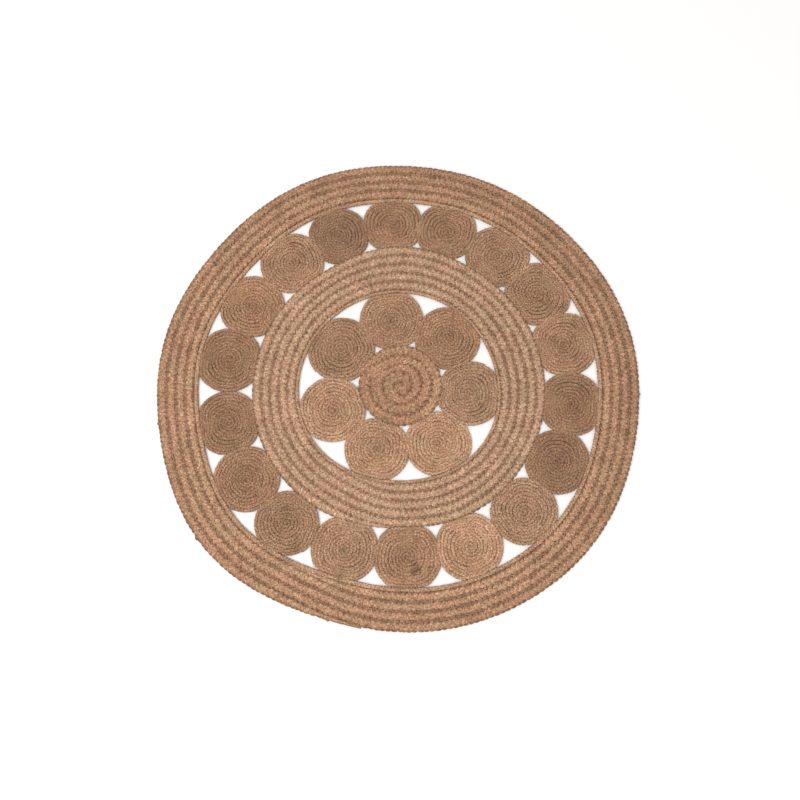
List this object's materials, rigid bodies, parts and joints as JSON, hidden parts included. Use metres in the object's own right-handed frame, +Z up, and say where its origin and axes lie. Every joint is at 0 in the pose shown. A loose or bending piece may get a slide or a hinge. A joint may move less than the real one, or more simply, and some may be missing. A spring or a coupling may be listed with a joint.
{
  "type": "round braided area rug",
  "caption": "Round flat rug of coiled braid discs sewn in two rows between two wound braid rings, with open star-shaped gaps.",
  "frame": {"origin": "middle of the rug's outline, on its underside, where it lies on the floor", "axes": "+Z up out of the rug's face; +Y towards the rug's far side as it lies in the view; +X to the right"},
  "size_m": [1.194, 1.1948, 0.01],
  "materials": {
    "ring_jute": "coarse undyed jute in a flat three-strand braid, matt",
    "inner_ring_jute": "coarse undyed jute in a flat three-strand braid, matt, a little more golden",
    "centre_disc_jute": "wide flat three-strand jute braid coiled flat, matt, pinkish tan",
    "tan_disc_jute": "thin three-strand jute braid wound in a coil, matt, khaki tan",
    "olive_disc_jute": "thin three-strand jute braid wound in a coil, matt, olive brown",
    "brown_disc_jute": "thin three-strand jute braid wound in a coil, matt, reddish brown",
    "sewing_thread": "twisted brown thread, matt"
  },
  "bodies": {
    "root": {"centre_disc": "centre_disc_jute", "inner_disc_01": "olive_disc_jute", "inner_disc_02": "brown_disc_jute", "inner_disc_03": "tan_disc_jute", "inner_disc_04": "tan_disc_jute", "inner_disc_05": "tan_disc_jute", "inner_disc_06": "tan_disc_jute", "inner_disc_07": "olive_disc_jute", "inner_ring_braid": "inner_ring_jute", "inner_ring_edge_row": "inner_ring_jute", "inner_ring_sewing_thread": "sewing_thread", "outer_disc_01": "brown_disc_jute", "outer_disc_02": "brown_disc_jute", "outer_disc_03": "olive_disc_jute", "outer_disc_04": "olive_disc_jute", "outer_disc_05": "olive_disc_jute", "outer_disc_06": "brown_disc_jute", "outer_disc_07": "brown_disc_jute", "outer_disc_08": "tan_disc_jute", "outer_disc_09": "tan_disc_jute", "outer_disc_10": "olive_disc_jute", "outer_disc_11": "tan_disc_jute", "outer_disc_12": "olive_disc_jute", "outer_disc_13": "brown_disc_jute", "outer_disc_14": "brown_disc_jute", "outer_disc_15": "brown_disc_jute", "outer_disc_16": "brown_disc_jute", "outer_disc_17": "olive_disc_jute", "outer_disc_18": "brown_disc_jute", "outer_ring_braid": "ring_jute", "outer_ring_edge_row": "ring_jute", "outer_ring_sewing_thread": "sewing_thread"}
  },
  "joints": []
}
